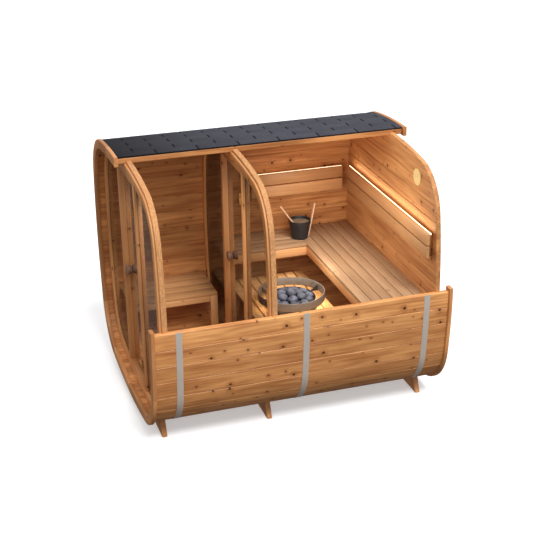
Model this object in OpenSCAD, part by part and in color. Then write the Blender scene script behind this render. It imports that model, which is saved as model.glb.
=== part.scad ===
// Garden sauna of barrel type with a rounded-square section, shown as a cutaway.
// Units are mm. +Z is up, +X runs to the back wall and -Y is the cut-away near side.

/* [Shell] */
// Length over both end rings
overall_length = 2430; // [2200:10:3200]
// Width of the shell outside the staves
shell_width = 2030; // [1900:10:2300]
// Height of the shell outside the staves
shell_height = 2000; // [1900:10:2300]
// Radius of the rounded corners of the section
corner_radius = 427; // [340:1:520]
// How far the sides bow out
side_bulge = 40; // [30:1:60]
// How far the top and bottom bow out
top_bulge = 40; // [30:1:60]
// Thickness of the staves
stave_thickness = 45; // [36:1:60]
// Staves in one full side
side_staves = 8; // [4:2:14]
// Staves in one corner
corner_staves = 4; // [3:1:8]
// Staves in the full top or bottom
top_staves = 8; // [4:2:14]
// Height of the near wall that is left, from the shell's bottom
near_wall_height = 957; // [800:1:1000]
// Depth of the grooves that hold the end walls
croze_depth = 22; // [10:1:26]

/* [Rings] */
// Thickness of an end ring along the sauna
ring_thickness = 31; // [24:1:60]
// How far a ring stands proud of the staves
ring_proud = 20; // [16:1:45]
// Width of a ring across its face
ring_depth = 76; // [66:1:110]
// How far a cut ring reaches past the cut staves
ring_stub = 30; // [10:1:90]

/* [Bands] */
// Width of a steel band
band_width = 50; // [30:1:70]
// Thickness of a steel band
band_thickness = 2; // [1:0.5:4]
// Distance between neighbouring bands
band_spacing = 1000; // [900:10:1020]

/* [Roof cover] */
// Thickness of the shingles on their underlay
cover_thickness = 15; // [6:1:24]

/* [Cradles] */
// Height of the shell's bottom above the ground
cradle_lift = 83; // [60:1:140]
// Thickness of a cradle board
cradle_thickness = 42; // [30:1:60]
// Length of a cradle on the ground
cradle_length = 1440; // [1300:10:1600]
// Distance from an end ring's face to the middle of the end cradles
cradle_inset = 131; // [70:1:160]
// Distance of the middle cradle from the middle, towards the door
cradle_shift = 218; // [120:1:400]
// Clearance of a cradle under the flat of the bottom, between the corners it bears on
cradle_relief = 6; // [3:1:15]

/* [End walls] */
// Depth of the porch recess before the front wall
front_recess = 81; // [50:1:160]
// Distance between the front faces of the front wall and the partition
changing_depth = 851; // [760:1:1000]
// Thickness of the wall arches
wall_thickness = 56; // [44:1:70]
// Thickness of the tongue that sits in the groove
tongue_thickness = 40; // [16:1:44]
// Width of an arch inside the staves
arch_width = 65; // [50:1:90]
// Width of the door posts
post_width = 52; // [40:1:70]
// Depth of the post at a door's free edge along the sauna; the hinge post is as deep as the arch
post_depth = 86; // [70:1:120]
// Height of the rails above and below a door
rail_height = 28; // [20:1:60]
// Thickness of the glass
glass_thickness = 8; // [6:1:12]
// Distance from a wall's front face to the middle of its side panes
glass_setback = 22; // [14:1:40]
// Recess of the back wall behind the back ring's face
back_recess = 97; // [60:1:140]
// Thickness of the back wall
back_thickness = 40; // [28:1:50]
// Height of a back wall board
back_board = 128; // [100:1:160]

/* [Doors] */
// Clear width between the door posts
door_opening = 540; // [500:1:640]
// Distance from a wall's front face to the middle of its door's glass
door_setback = 45; // [38:1:50]
// Gap round a door leaf
door_gap = 5; // [4:0.5:8]
// Gap beside the free edge of a leaf, which swings out a little
latch_gap = 8.5; // [8.5:0.5:12]
// Height of a hinge
hinge_height = 84; // [60:1:110]
// Radius of a hinge barrel
hinge_radius = 6; // [5:0.5:8]
// Distance from a leaf's end to the middle of its hinge
hinge_inset = 200; // [120:5:300]
// Reach of a hinge clamp over the glass
clamp_reach = 42; // [30:1:60]
// Reach of a hinge leaf along the side of a post
leaf_reach = 20; // [12:1:20]
// Thickness of a hinge leaf
leaf_thickness = 3; // [2:0.5:4]
// Thickness of a hinge clamp plate
clamp_thickness = 4; // [3:0.5:6]
// Radius of a door knob
knob_radius = 43; // [30:1:48]
// Radius of a knob's neck at the glass
knob_neck_radius = 28; // [16:1:30]
// Length of a door knob
knob_length = 40; // [30:1:45]
// Chamfer of a knob's outer edge
knob_edge = 6; // [2:0.5:8]
// Radius of the knob's stem through the glass
knob_stem_radius = 6; // [4:0.5:9]
// Distance from the free edge of a leaf to its knob
knob_inset = 70; // [50:1:110]
// Height of the knobs above the ground
knob_height = 1075; // [1000:5:1250]

/* [Vent] */
// Radius of the vent hole
vent_hole_radius = 48; // [35:1:60]
// Radius of the wooden vent cover
vent_cover_radius = 68; // [62:1:90]
// Thickness of the wooden vent cover
vent_cover_thickness = 6; // [4:1:30]
// Distance of the vent's middle from the near side of the shell
vent_inset = 438; // [400:1:560]
// Distance of the vent's middle below the shell's top
vent_drop = 219; // [190:1:400]

/* [Changing bench] */
// Height of the changing bench above the ground
stool_height = 635; // [560:1:680]
// Depth of the changing bench
stool_depth = 480; // [380:5:500]
// Gap between the changing bench and the partition
stool_end_gap = 24; // [1:1:60]
// Height of the changing bench's apron
stool_apron = 54; // [44:1:90]
// Thickness of the bench slats
slat_thickness = 28; // [22:1:36]
// Gap between bench slats
slat_gap = 6; // [4:0.5:12]
// Slats of the changing bench
stool_slats = 4; // [3:1:6]
// Height of a hot room bench's apron under the slats
apron_height = 78; // [60:1:110]
// Thickness of a bench apron
apron_thickness = 28; // [22:1:36]
// Width of a bench leg
leg_width = 64; // [45:1:80]

/* [Hot room benches] */
// Height of the hot room benches above the ground
bench_height = 944; // [880:1:980]
// Depth of the far bench
far_bench_depth = 430; // [380:5:480]
// Depth of the back bench
back_bench_depth = 537; // [480:1:580]
// Slats of the far bench
far_slats = 5; // [3:1:7]
// Slats of the back bench
back_slats = 6; // [4:1:8]
// Section of the ledgers that carry the benches
ledger_size = 40; // [28:1:60]

/* [Backrests] */
// Height of the backrests' top edge above the benches
backrest_rise = 578; // [500:1:650]
// Height of one backrest board
backrest_board = 100; // [80:1:120]
// Gap between backrest boards
backrest_gap = 10; // [6:1:20]
// Thickness of the backrest boards
backrest_thickness = 26; // [18:1:34]
// Distance of the far backrest's face from the far wall at its top edge
far_backrest_gap = 128.5; // [90:0.5:180]
// Distance of the back backrest's face from the back wall
back_backrest_gap = 65; // [50:1:90]
// Length of the far backrest
far_backrest_length = 850; // [700:5:900]
// Distance of the back backrest's near end from the shell's near side
back_backrest_inset = 75; // [72:1:400]
// Gap between the two backrests at the corner
backrest_corner_gap = 36; // [10:1:60]
// Section of the light strips
light_size = 9; // [6:1:18]

/* [Foot platform] */
// Height of the platform above the ground
platform_height = 600; // [540:1:660]
// Width of a platform slat
platform_slat = 78; // [60:1:95]
// Gap between platform slats
platform_gap = 10; // [6:1:16]
// Distance of the platform slats' ends from the shell's sides
platform_inset = 265; // [240:1:340]
// Reach of the platform under the back bench's front edge
platform_reach = 22; // [0:1:40]
// Thickness of the platform slats
platform_thickness = 26; // [20:1:34]

/* [Heater] */
// Distance of the heater from the partition's front face
heater_from_partition = 513; // [470:1:540]
// Distance of the heater from the middle plane, towards the far side
heater_offset = 50; // [0:1:90]
// Radius of the heater's casing at the top
heater_top_radius = 205; // [170:1:215]
// Radius of the heater's casing at the foot
heater_foot_radius = 160; // [130:1:180]
// Height of the heater's rim above the ground
heater_rim_height = 690; // [650:1:720]
// Thickness of the heater's casing
heater_wall = 6; // [4:0.5:10]
// Outer radius of the guard ring
guard_radius = 285; // [260:1:300]
// Height of the guard ring's band
guard_height = 72; // [50:1:90]
// Thickness of the guard ring's band
guard_thickness = 9; // [5:0.5:14]
// Height of the guard ring's top edge above the ground
guard_top = 745; // [725:1:770]
// Thickness of a guard bracket
bracket_thickness = 6; // [4:0.5:10]
// Height of a guard bracket at the heater, where it tapers out
bracket_tip = 10; // [6:1:30]

/* [Bucket] */
// Radius of the bucket at the rim
bucket_rim_radius = 98; // [80:1:115]
// Radius of the bucket at the foot
bucket_foot_radius = 73; // [60:1:80]
// Height of the bucket
bucket_depth = 172; // [150:1:230]
// Wall of the bucket
bucket_wall = 5; // [4:0.5:9]
// Distance of the bucket's middle before the back bench's front edge
bucket_before = 12; // [0:1:60]
// Distance of the bucket's middle from the far bench's back edge
bucket_set = 266; // [220:1:280]
// Radius of the ladle's handle
ladle_radius = 8; // [6:0.5:11]
// Length of the ladle's handle
ladle_length = 400; // [280:5:420]
// Radius of the ladle's cup
ladle_cup_radius = 26; // [20:1:30]
// Width of the bucket's upright handle
handle_width = 26; // [16:1:34]
// Thickness of the bucket's upright handle
handle_thickness = 12; // [8:1:16]
// Length of the bucket's upright handle
handle_length = 320; // [280:5:380]
// Lean of the bucket's upright handle, in degrees
handle_lean = 11.5; // [8:0.5:13]

/* [Hidden] */
$fn = 96;
// Segments of the large arcs in the preview mesh
arc_fn = 720;
// Gap between neighbouring staves and arch pieces
stave_gap = 0.4;
// Gap between a piece and its seat
seat_gap = 0.3;
// Running gap between hinge knuckles
knuckle_gap = 0.5;
// Overrun of every cut
overrun = 20;
// Inward run of a cradle's end for each unit of height
cradle_lean_share = 0.47;
// Arch pieces in a side, corner or top
arch_pieces = 2;
// Points along a corner and along a side of the pane and wall outlines
corner_steps = 10;
side_steps = 5;
// Radius of a stone as a share of the bed's radius
stone_share = 0.188;
// Directions of the guard brackets
bracket_angles = [17, 137, 257];
// Place of the ladle's cup as shares of the bucket's foot radius
ladle_cup_share = [0.38, -0.3];
// Half width of a leaning handle at the rim, as a share of its radius
lean_width_share = 1.25;
// Bearers under the back bench as shares of its half length
bearer_share = [-0.8, -0.3, 0.2, 0.75];
// Legs of the platform as shares of its half length
platform_leg_share = [-0.62, 0.62];

half_w = shell_width/2;
half_h = shell_height/2;
shell_cz = cradle_lift + half_h;
corner_cy = half_w - side_bulge - corner_radius;
corner_cz = half_h - top_bulge - corner_radius;
side_r = (pow(corner_radius, 2) - pow(corner_cy - half_w, 2) - pow(corner_cz, 2))
    / (2*(corner_cy - half_w + corner_radius));
top_r = (pow(corner_radius, 2) - pow(corner_cz - half_h, 2) - pow(corner_cy, 2))
    / (2*(corner_cz - half_h + corner_radius));
side_angle = asin(corner_cz/(side_r - corner_radius));
top_angle = asin(corner_cy/(top_r - corner_radius));

// Arcs of the section, anticlockwise from the far side: centre, radius, start and end angle
far_side = [half_w - side_r, 0, side_r, -side_angle, side_angle];
far_top = [corner_cy, corner_cz, corner_radius, side_angle, 90 - top_angle];
top_far = [0, half_h - top_r, top_r, 90 - top_angle, 90];
top_near = [0, half_h - top_r, top_r, 90, 90 + top_angle];
near_top = [-corner_cy, corner_cz, corner_radius, 90 + top_angle, 180 - side_angle];
near_high = [side_r - half_w, 0, side_r, 180 - side_angle, 180];
near_low = [side_r - half_w, 0, side_r, 180, 180 + side_angle];
near_bottom = [-corner_cy, -corner_cz, corner_radius, 180 + side_angle, 270 - top_angle];
bottom = [0, top_r - half_h, top_r, 270 - top_angle, 270 + top_angle];
far_bottom = [corner_cy, -corner_cz, corner_radius, 270 + top_angle, 360 - side_angle];

// Angle on the near side arc where the near wall ends, and the ring's stubs
cut_angle = 180 + asin((half_h - near_wall_height)/side_r);
near_left = [side_r - half_w, 0, side_r, cut_angle, 180 + side_angle];
near_stub = [side_r - half_w, 0, side_r, 180 + asin((half_h - near_wall_height - ring_stub)/side_r),
    180 + side_angle];
top_stub = [0, half_h - top_r, top_r, 90 - top_angle, 90 + asin(ring_stub/top_r)];

ring_x = overall_length/2;
shell_x = ring_x - ring_thickness;
front_x = -ring_x + front_recess;
inner_x = front_x + changing_depth;
back_rear_x = ring_x - back_recess;
back_x = back_rear_x - back_thickness;
vent_offset = half_w - vent_inset;
vent_height = cradle_lift + shell_height - vent_drop;
tongue_set = wall_thickness - tongue_thickness;
front_room_x = front_x + wall_thickness;
hot_room_x = inner_x + wall_thickness;

// Inner face of the far wall at a height, on its side arc or on a corner
function side_y(rise) = half_w - side_r + sqrt(pow(side_r - stave_thickness, 2) - pow(rise, 2));
function corner_y(rise) = corner_cy
    + sqrt(pow(corner_radius - stave_thickness, 2) - pow(rise - corner_cz, 2));
function wall_y(z) = abs(z - shell_cz) > corner_cz + (corner_radius - stave_thickness)*sin(side_angle)
    ? corner_y(abs(z - shell_cz)) : side_y(abs(z - shell_cz));
// Inner face of the bottom at a distance from the middle
function floor_z(y) = shell_cz - (half_h - top_r) - sqrt(pow(top_r - stave_thickness, 2) - pow(y, 2));
function top_z(y, inset) = shell_cz + (half_h - top_r) + sqrt(pow(top_r - inset, 2) - pow(y, 2));
function bottom_z(y, inset) = 2*shell_cz - top_z(y, inset);

// Turns a shape drawn in the section's plane, with its height along the sauna
module along_x() { translate([0, 0, shell_cz]) rotate([90, 0, 90]) children(); }

// One piece of an arc of the section, swept from a profile drawn as radius and place along the sauna
module arc_piece(arc, first, last, gap) {
    trim = gap/2/arc[2]*180/PI;
    start = arc[3] + (arc[4] - arc[3])*first + trim;
    sweep = (arc[4] - arc[3])*(last - first) - 2*trim;
    along_x() translate([arc[0], arc[1], 0]) rotate([0, 0, start])
        rotate_extrude(angle = sweep, $fn = arc_fn) children();
}

// Pieces of equal length along one arc
module arc_row(arc, count) {
    for (i = [0:count - 1]) arc_piece(arc, i/count, (i + 1)/count, stave_gap) children();
}

// Profile of a bar on the shell: outer face at an offset from the staves' outer face
module bar_profile(r, offset_out, depth, x0, x1) {
    translate([r + offset_out - depth, x0]) square([depth, x1 - x0]);
}

// Profile of a stave with the grooves that hold the front wall, the partition and the back wall
module stave_profile(r) {
    inner = r - stave_thickness;
    deep = inner + croze_depth;
    f0 = front_x + tongue_set - seat_gap;
    f1 = front_room_x + seat_gap;
    p0 = inner_x + tongue_set - seat_gap;
    p1 = hot_room_x + seat_gap;
    b0 = back_x - seat_gap;
    b1 = back_rear_x + seat_gap;
    polygon([[r, -shell_x], [r, shell_x], [inner, shell_x], [inner, b1], [deep, b1], [deep, b0],
        [inner, b0], [inner, p1], [deep, p1], [deep, p0], [inner, p0], [inner, f1], [deep, f1],
        [deep, f0], [inner, f0], [inner, -shell_x]]);
}

module staves(arc, count) { arc_row(arc, count) stave_profile(arc[2]); }

// Profile of a wall arch with its tongue
module arch_profile(r, x) {
    rim = r - stave_thickness - seat_gap;
    tongue = rim + croze_depth;
    bore = r - stave_thickness - arch_width;
    polygon([[bore, x], [rim, x], [rim, x + tongue_set], [tongue, x + tongue_set],
        [tongue, x + wall_thickness], [bore, x + wall_thickness]]);
}

function arc_points(arc, inset, steps) = [for (i = [0:steps])
    let (t = arc[3] + (arc[4] - arc[3])*i/steps)
    [arc[0] + (arc[2] - inset)*cos(t), arc[1] + (arc[2] - inset)*sin(t)]];

// Outline of everything inside the section at an inset
function section_points(inset) = concat(arc_points(far_side, inset, side_steps),
    arc_points(far_top, inset, corner_steps), arc_points(top_far, inset, side_steps),
    arc_points(top_near, inset, side_steps), arc_points(near_top, inset, corner_steps),
    arc_points(near_high, inset, side_steps), arc_points(near_low, inset, side_steps),
    arc_points(near_bottom, inset, corner_steps), arc_points(bottom, inset, side_steps),
    arc_points(far_bottom, inset, corner_steps));

module near_wall() { color("peru") {
    staves(near_left, side_staves/2);
    staves(near_bottom, corner_staves);
} }

module bottom_shell() { color("sienna") staves(bottom, top_staves); }

module far_wall() { color("peru") {
    staves(far_bottom, corner_staves);
    staves(far_side, side_staves);
    staves(far_top, corner_staves);
} }

module roof_shell() { color("sienna") staves(top_far, top_staves/2); }

module end_ring(x0, x1) {
    for (arc = [near_stub, far_side, top_stub])
        arc_row(arc, arch_pieces) bar_profile(arc[2], ring_proud, ring_depth, x0, x1);
    for (arc = [near_bottom, bottom, far_bottom, far_top])
        arc_row(arc, 2*arch_pieces) bar_profile(arc[2], ring_proud, ring_depth, x0, x1);
}

module front_ring() { color("burlywood") end_ring(-ring_x, -shell_x - seat_gap); }
module back_ring() { color("burlywood") end_ring(shell_x + seat_gap, ring_x); }

module steel_bands() { color("silver")
    for (i = [-1:1], arc = [near_left, near_bottom, bottom, far_bottom, far_side])
        arc_row(arc, arch_pieces) bar_profile(arc[2], band_thickness + seat_gap, band_thickness,
            i*band_spacing - band_width/2, i*band_spacing + band_width/2);
}

module roof_shingles() { color("darkslategray") {
    arc_row(top_far, arch_pieces) bar_profile(top_r, cover_thickness + seat_gap, cover_thickness,
        -shell_x, shell_x);
    arc_row(far_top, 2*arch_pieces) bar_profile(corner_radius, cover_thickness + seat_gap,
        cover_thickness, -shell_x, shell_x);
} }

module cradle_outline() {
    tip_y = cradle_length/2 - cradle_lean_share*(cradle_lift + corner_radius);
    tangent_y = corner_cy + corner_radius*sin(top_angle);
    difference() {
        polygon([[-cradle_length/2, -shell_cz], [cradle_length/2, -shell_cz],
            [tip_y, -half_h + corner_radius], [-tip_y, -half_h + corner_radius]]);
        intersection() {
            translate([0, top_r - half_h - cradle_relief]) circle(r = top_r, $fn = arc_fn);
            translate([-tangent_y, -half_h - cradle_relief - overrun])
                square([2*tangent_y, corner_radius + cradle_relief + 2*overrun]);
        }
        for (s = [-1, 1]) translate([s*corner_cy, -corner_cz])
            circle(r = corner_radius + seat_gap, $fn = arc_fn);
    }
}

module cradles() { color("saddlebrown")
    for (x = [-ring_x + cradle_inset, -cradle_shift, ring_x - cradle_inset])
        translate([x - cradle_thickness/2, 0, 0]) along_x()
            linear_extrude(cradle_thickness) cradle_outline();
}

module wall_arch(x) {
    for (arc = [far_side, far_top, near_top, near_bottom, far_bottom, bottom])
        arc_row(arc, arch_pieces) arch_profile(arc[2], x);
    for (arc = [top_far, top_near, near_high, near_low])
        arc_row(arc, arch_pieces/2) arch_profile(arc[2], x);
}

arch_inset = stave_thickness + arch_width + seat_gap;
// Heights of the lower edge of a header and the upper edge of a sill
header_z = top_z(0, arch_inset) - rail_height;
sill_z = bottom_z(0, arch_inset) + rail_height;

// What lies between the arch's top and bottom arcs
module between_arcs(inset) {
    intersection() {
        children();
        translate([0, half_h - top_r]) circle(r = top_r - inset, $fn = arc_fn);
        translate([0, top_r - half_h]) circle(r = top_r - inset, $fn = arc_fn);
    }
}

module wall_posts(x) {
    for (s = [-1, 1]) translate([x, 0, 0]) along_x()
        linear_extrude(s > 0 ? post_depth : wall_thickness) between_arcs(arch_inset)
            translate([s*(door_opening + post_width)/2 - post_width/2, -half_h])
                square([post_width, shell_height]);
}

module wall_rails(x) {
    rail_w = door_opening - 2*seat_gap;
    translate([x, 0, 0]) along_x() linear_extrude(wall_thickness) between_arcs(arch_inset) {
        translate([-rail_w/2, header_z - shell_cz]) square([rail_w, half_h]);
        translate([-rail_w/2, sill_z - shell_cz - half_h]) square([rail_w, half_h]);
    }
}

module side_panes(x) {
    edge = door_opening/2 + post_width + seat_gap;
    for (s = [-1, 1]) translate([x + glass_setback - glass_thickness/2, 0, 0]) along_x()
        linear_extrude(glass_thickness) intersection() {
            polygon(section_points(arch_inset));
            translate([s > 0 ? edge : -edge - half_w, -half_h]) square([half_w, shell_height]);
        }
}

leaf_y0 = -door_opening/2 + door_gap;
leaf_w = door_opening - door_gap - latch_gap;
leaf_z0 = sill_z + door_gap;
leaf_z1 = header_z - door_gap;
hinge_y = -door_opening/2 + hinge_radius + seat_gap;
knuckle = (hinge_height - 2*knuckle_gap)/3;
hinge_places = [leaf_z0 + hinge_inset, leaf_z1 - hinge_inset];
knob_y = leaf_y0 + leaf_w - knob_inset;

module door_glass(x) {
    difference() {
        translate([x + door_setback - glass_thickness/2, leaf_y0, leaf_z0])
            cube([glass_thickness, leaf_w, leaf_z1 - leaf_z0]);
        translate([x + door_setback - overrun, knob_y, knob_height]) rotate([0, 90, 0])
            cylinder(r = knob_stem_radius + seat_gap, h = 2*overrun);
    }
}

// The hinge barrels stand before the posts' front faces, so that the doors swing clear
module door_clamps(x) {
    face = x + door_setback - glass_thickness/2;
    for (z = hinge_places) translate([0, hinge_y, z - knuckle/2]) {
        translate([x - hinge_radius, 0, 0]) cylinder(r = hinge_radius, h = knuckle);
        translate([x - hinge_radius, 0, 0])
            cube([face - x + hinge_radius, clamp_thickness, knuckle]);
        translate([face - clamp_thickness, 0, 0]) cube([clamp_thickness, clamp_reach, knuckle]);
    }
}

module hinge_leaves(x) {
    for (z = hinge_places) for (s = [-1, 1])
        translate([x - hinge_radius, 0, z + s*(knuckle + knuckle_gap) - knuckle/2]) {
            translate([0, hinge_y, 0]) cylinder(r = hinge_radius, h = knuckle);
            translate([0, -door_opening/2 + seat_gap, 0])
                cube([leaf_reach + hinge_radius, leaf_thickness, knuckle]);
        }
}

// One half of a turned knob, from its neck at the glass to its outer face
module knob_half() {
    rotate_extrude() polygon([[0, 0], [knob_neck_radius, 0], [knob_radius, knob_length - 2*knob_edge],
        [knob_radius, knob_length - knob_edge], [knob_radius - knob_edge, knob_length],
        [0, knob_length]]);
}

module door_knob(x) {
    mid = x + door_setback;
    for (s = [-1, 1]) translate([mid + s*glass_thickness/2, knob_y, knob_height])
        rotate([0, s*90, 0]) knob_half();
    translate([mid - glass_thickness/2 - knob_length/2, knob_y, knob_height]) rotate([0, 90, 0])
        cylinder(r = knob_stem_radius, h = glass_thickness + knob_length);
}

module front_arch() { color("burlywood") wall_arch(front_x); }
module front_posts() { color("tan") wall_posts(front_x); }
module front_rails() { color("tan") wall_rails(front_x); }
module front_side_panes() { color("rosybrown", 0.5) side_panes(front_x); }
module front_hinges() { color("gold") hinge_leaves(front_x); }
module front_door_glass() { color("rosybrown", 0.5) door_glass(front_x); }
module front_door_clamps() { color("gold") door_clamps(front_x); }
module front_door_knob() { color("peru") door_knob(front_x); }
module inner_arch() { color("burlywood") wall_arch(inner_x); }
module inner_posts() { color("tan") wall_posts(inner_x); }
module inner_rails() { color("tan") wall_rails(inner_x); }
module inner_side_panes() { color("rosybrown", 0.5) side_panes(inner_x); }
module inner_hinges() { color("gold") hinge_leaves(inner_x); }
module inner_door_glass() { color("rosybrown", 0.5) door_glass(inner_x); }
module inner_door_clamps() { color("gold") door_clamps(inner_x); }
module inner_door_knob() { color("peru") door_knob(inner_x); }

// Boards laid from the vent's middle up and down, so that two boards share its hole
module back_wall() { color("chocolate") {
    inset = stave_thickness - croze_depth + seat_gap;
    vent_rise = vent_height - shell_cz;
    below = ceil((vent_rise + half_h - inset)/back_board);
    above = ceil((half_h - inset - vent_rise)/back_board);
    for (i = [-below:above - 1]) difference() {
        translate([back_x, 0, 0]) along_x() linear_extrude(back_thickness) intersection() {
            polygon(section_points(inset));
            translate([-half_w, vent_rise + i*back_board + stave_gap/2])
                square([shell_width, back_board - stave_gap]);
        }
        translate([back_x - overrun, -vent_offset, vent_height]) rotate([0, 90, 0])
            cylinder(r = vent_hole_radius, h = back_thickness + 2*overrun);
    }
} }

module vent_cover() { color("khaki")
    translate([back_x - vent_cover_thickness - seat_gap, -vent_offset, vent_height]) rotate([0, 90, 0])
        cylinder(r = vent_cover_radius, h = vent_cover_thickness);
}

// Bench slats in a row across a depth
module slat_row(count, depth, gap, length, thickness) {
    pitch = (depth + gap)/count;
    for (i = [0:count - 1]) translate([0, i*pitch, 0]) cube([length, pitch - gap, thickness]);
}

stool_back = wall_y(stool_height - slat_thickness) - seat_gap;
stool_x0 = front_room_x + seat_gap;
stool_length = inner_x - stool_x0 - stool_end_gap;

module changing_bench() { color("burlywood")
    translate([stool_x0, stool_back - stool_depth, stool_height - slat_thickness])
        slat_row(stool_slats, stool_depth, slat_gap, stool_length, slat_thickness);
}

module changing_bench_frame() { color("burlywood") {
    front_y = stool_back - stool_depth;
    top = stool_height - slat_thickness - seat_gap;
    // Apron between two legs
    translate([stool_x0 + leg_width + seat_gap, front_y, top - stool_apron])
        cube([stool_length - 2*(leg_width + seat_gap), apron_thickness, stool_apron]);
    back_y = wall_y(top - ledger_size) - seat_gap;
    foot = floor_z(front_y + apron_thickness) + seat_gap;
    for (x = [stool_x0, stool_x0 + stool_length - leg_width])
        translate([x, front_y, foot]) cube([leg_width, apron_thickness, top - foot]);
    // Bearers from the legs to the ledger on the far wall
    bearer_y = front_y + apron_thickness + seat_gap;
    for (x = [stool_x0, stool_x0 + stool_length - ledger_size])
        translate([x, bearer_y, top - ledger_size])
            cube([ledger_size, back_y - ledger_size - seat_gap - bearer_y, ledger_size]);
    translate([stool_x0, back_y - ledger_size, top - ledger_size])
        cube([stool_length, ledger_size, ledger_size]);
} }

bench_back = wall_y(bench_height - slat_thickness) - seat_gap;
bench_front_x = back_x - seat_gap - back_bench_depth;
far_bench_x0 = hot_room_x + seat_gap;
far_bench_length = bench_front_x - far_bench_x0 - seat_gap;
far_front_y = bench_back - far_bench_depth;

module far_bench() { color("burlywood")
    translate([far_bench_x0, far_front_y, bench_height - slat_thickness])
        slat_row(far_slats, far_bench_depth, slat_gap, far_bench_length, slat_thickness);
}

module back_bench() { color("burlywood")
    translate([back_x - seat_gap, -bench_back, bench_height - slat_thickness]) rotate([0, 0, 90])
        slat_row(back_slats, back_bench_depth, slat_gap, 2*bench_back, slat_thickness);
}

module bench_frame() { color("burlywood") {
    top = bench_height - slat_thickness - seat_gap;
    ledge_y = wall_y(top - ledger_size) - seat_gap;
    // Aprons under the front edges, meeting at the inner corner
    translate([far_bench_x0, far_front_y, top - apron_height])
        cube([bench_front_x - far_bench_x0 - seat_gap, apron_thickness, apron_height]);
    apron_y = wall_y(top - apron_height) - seat_gap;
    translate([bench_front_x, -apron_y, top - apron_height])
        cube([apron_thickness, 2*apron_y, apron_height]);
    // Ledgers on the far wall and on the back wall
    translate([far_bench_x0, ledge_y - ledger_size, top - ledger_size])
        cube([bench_front_x - far_bench_x0 - seat_gap, ledger_size, ledger_size]);
    translate([back_x - seat_gap - ledger_size, -ledge_y, top - ledger_size])
        cube([ledger_size, 2*ledge_y, ledger_size]);
    // Bearers from the aprons to the ledgers
    far_run = ledge_y - ledger_size - far_front_y - apron_thickness - 2*seat_gap;
    for (x = [far_bench_x0, bench_front_x - seat_gap - ledger_size])
        translate([x, far_front_y + apron_thickness + seat_gap, top - ledger_size])
            cube([ledger_size, far_run, ledger_size]);
    back_run = back_bench_depth - apron_thickness - ledger_size - 2*seat_gap;
    for (s = bearer_share)
        translate([bench_front_x + apron_thickness + seat_gap, s*bench_back - ledger_size/2,
                top - ledger_size])
            cube([back_run, ledger_size, ledger_size]);
} }

backrest_top = bench_height + backrest_rise;
far_backrest_y = wall_y(backrest_top) - far_backrest_gap;
far_rest_x1 = back_x - back_backrest_gap - backrest_corner_gap;
back_rest_x = back_x - back_backrest_gap;
back_rest_y1 = far_backrest_y - seat_gap;
back_backrest_length = back_rest_y1 + half_w - back_backrest_inset;

module far_backrest() { color("burlywood")
    for (i = [0, 1]) translate([far_rest_x1 - far_backrest_length, far_backrest_y,
            backrest_top - backrest_board - i*(backrest_board + backrest_gap)])
        cube([far_backrest_length, backrest_thickness, backrest_board]);
}

module back_backrest() { color("burlywood")
    for (i = [0, 1]) translate([back_rest_x, back_rest_y1 - back_backrest_length,
            backrest_top - backrest_board - i*(backrest_board + backrest_gap)])
        cube([backrest_thickness, back_backrest_length, backrest_board]);
}

rest_drop = 2*backrest_board + backrest_gap;
batten_top = backrest_top - light_size - seat_gap;

module backrest_battens() { color("sienna") {
    low = backrest_top - rest_drop;
    far_y0 = far_backrest_y + backrest_thickness + seat_gap;
    far_y1 = wall_y(batten_top) - seat_gap;
    for (x = [far_rest_x1 - far_backrest_length + ledger_size, far_rest_x1 - 2*ledger_size])
        translate([x, far_y0, low]) cube([ledger_size, far_y1 - far_y0, batten_top - low]);
    back_x0 = back_rest_x + backrest_thickness + seat_gap;
    for (y = [back_rest_y1 - back_backrest_length + ledger_size, back_rest_y1 - 2*ledger_size])
        translate([back_x0, y, low]) cube([back_x - seat_gap - back_x0, ledger_size, batten_top - low]);
} }

module light_strips() { color("lightyellow") {
    translate([far_rest_x1 - far_backrest_length, far_backrest_y + backrest_thickness + seat_gap,
            backrest_top - light_size])
        cube([far_backrest_length, light_size, light_size]);
    translate([back_rest_x + backrest_thickness + seat_gap, back_rest_y1 - back_backrest_length,
            backrest_top - light_size])
        cube([light_size, back_backrest_length, light_size]);
} }

heater_x = inner_x + heater_from_partition;
platform_x1 = bench_front_x + platform_reach;
platform_length = shell_width - 2*platform_inset;
platform_pitch = platform_slat + platform_gap;
platform_slats = floor((platform_x1 - inner_x - post_depth - seat_gap + platform_gap)/platform_pitch);

module foot_platform() { color("burlywood") difference() {
    for (i = [0:platform_slats - 1])
        translate([platform_x1 - platform_slat - i*platform_pitch, -platform_length/2,
                platform_height - platform_thickness])
            cube([platform_slat, platform_length, platform_thickness]);
    translate([heater_x, heater_offset, platform_height - platform_thickness - overrun])
        cylinder(r = heater_top_radius + 2*heater_wall, h = platform_thickness + 2*overrun);
} }

module platform_frame() { color("sienna") {
    top = platform_height - platform_thickness - seat_gap;
    x0 = platform_x1 - platform_slats*platform_pitch + platform_gap;
    for (s = platform_leg_share) {
        y = s*platform_length/2 - ledger_size/2;
        translate([x0, y, top - ledger_size]) cube([platform_x1 - x0, ledger_size, ledger_size]);
        foot = floor_z(abs(s)*platform_length/2 + ledger_size/2) + seat_gap;
        for (x = [x0, platform_x1 - ledger_size]) translate([x, y, foot])
            cube([ledger_size, ledger_size, top - ledger_size - seat_gap - foot]);
    }
} }

heater_foot_z = floor_z(heater_offset + heater_foot_radius) + seat_gap;
stone_radius = stone_share*(heater_top_radius - heater_wall);
stone_bed_z = heater_rim_height - 2*stone_radius;

module heater_body() { color("dimgray") translate([heater_x, heater_offset, 0])
    rotate_extrude() polygon([[0, heater_foot_z], [heater_foot_radius, heater_foot_z],
        [heater_top_radius, heater_rim_height], [heater_top_radius - heater_wall, heater_rim_height],
        [heater_top_radius - heater_wall, stone_bed_z], [0, stone_bed_z]]);
}

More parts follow.
